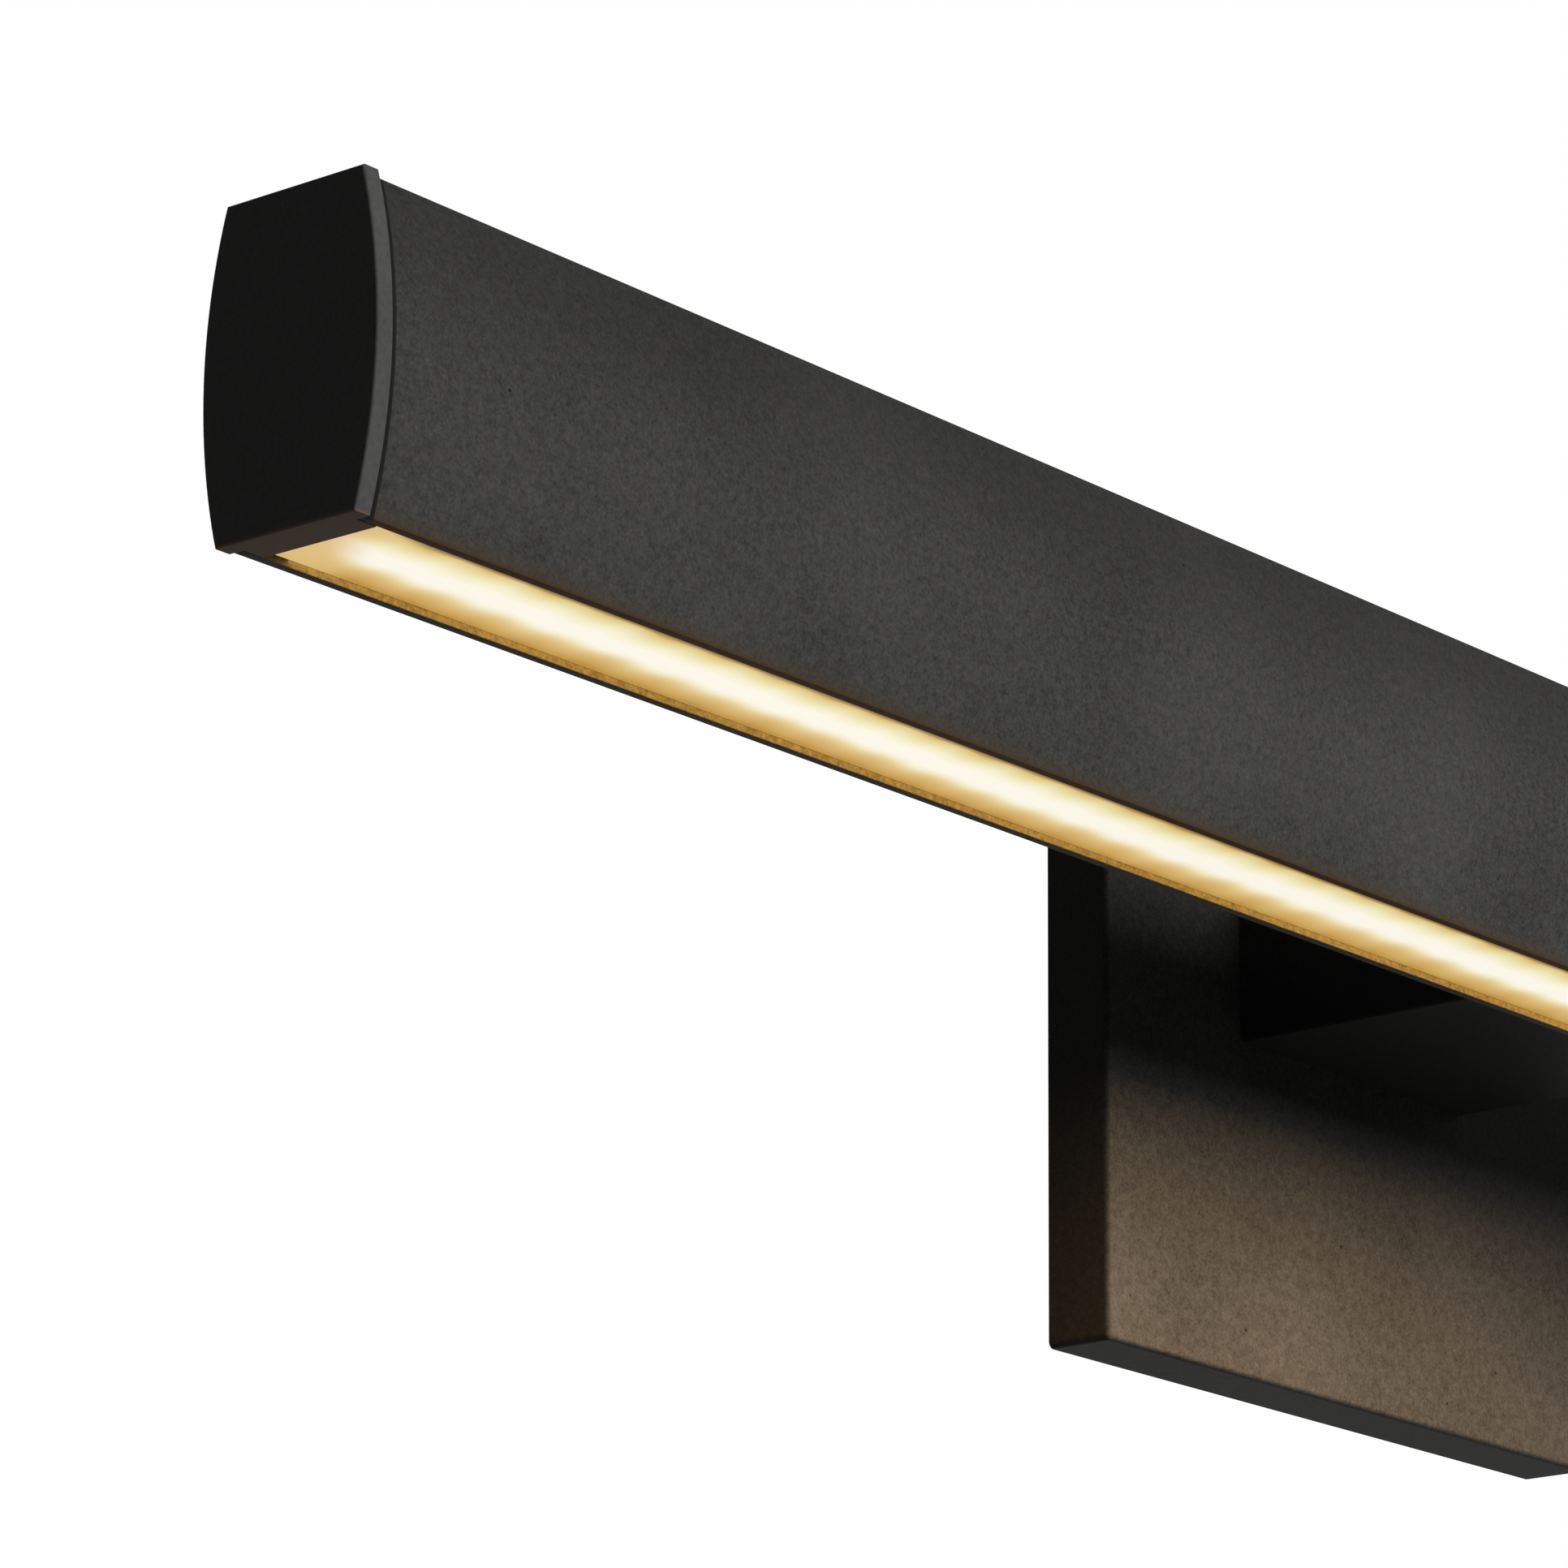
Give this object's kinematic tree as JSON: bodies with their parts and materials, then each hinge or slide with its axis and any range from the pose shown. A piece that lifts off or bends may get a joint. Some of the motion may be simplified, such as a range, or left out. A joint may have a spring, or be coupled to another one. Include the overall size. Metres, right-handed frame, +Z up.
{
  "type": "vanity light bar",
  "caption": "Wall-mounted vanity light bar: bowed aluminium barrel with a downward opal light strip, held off the wall by a wide block arm on a square back plate.",
  "frame": {"origin": "centre of the wall bracket's back, on the wall, where the slots for the junction box screws are centred", "axes": "+X along the bar to the right as seen from the room, +Y into the wall, +Z up"},
  "size_m": [0.6, 0.0921, 0.1206],
  "materials": {
    "black_powder_coat": "fine matt texture",
    "black_cap": "smooth matt",
    "opal_diffuser": "opal, lit",
    "white_board": "white solder mask on aluminium",
    "led_package": "phosphor",
    "solder": "bright",
    "tape": "adhesive film",
    "foam_tape": "foam",
    "white_plastic": "moulded",
    "green_board": "solder mask",
    "ferrite": "ferrite and tape",
    "capacitor_sleeve": "shrink sleeve",
    "black_wire": "PVC",
    "white_wire": "PVC",
    "green_wire": "PVC",
    "black_rubber": "moulded",
    "zinc": "zinc plated",
    "black_screw": "black oxide",
    "brass": "plain"
  },
  "bodies": {
    "root": {"bar_housing": "black_powder_coat", "left_end_cap": "black_cap", "right_end_cap": "black_cap", "diffuser": "opal_diffuser", "led_board_left": "white_board", "led_board_right": "white_board", "led_chips": "led_package", "board_links": "solder", "thermal_tape": "tape", "driver_case": "white_plastic", "driver_lid": "white_plastic", "driver_board": "green_board", "driver_transformer": "ferrite", "driver_capacitors": "capacitor_sleeve", "driver_tape": "foam_tape", "input_wires": "black_wire", "output_wires": "white_wire", "arm": "black_powder_coat", "slide_nuts": "zinc", "bar_screws": "zinc", "arm_screws": "zinc", "bar_grommet": "black_rubber", "plate_grommet": "black_rubber", "back_plate": "black_powder_coat", "plate_screws": "black_screw", "mounting_bracket": "zinc", "terminal_block": "white_plastic", "terminal_screws": "brass", "block_screw": "zinc", "earth_rings": "brass", "earth_screws": "green_wire", "earth_lead": "green_wire"}
  },
  "joints": []
}
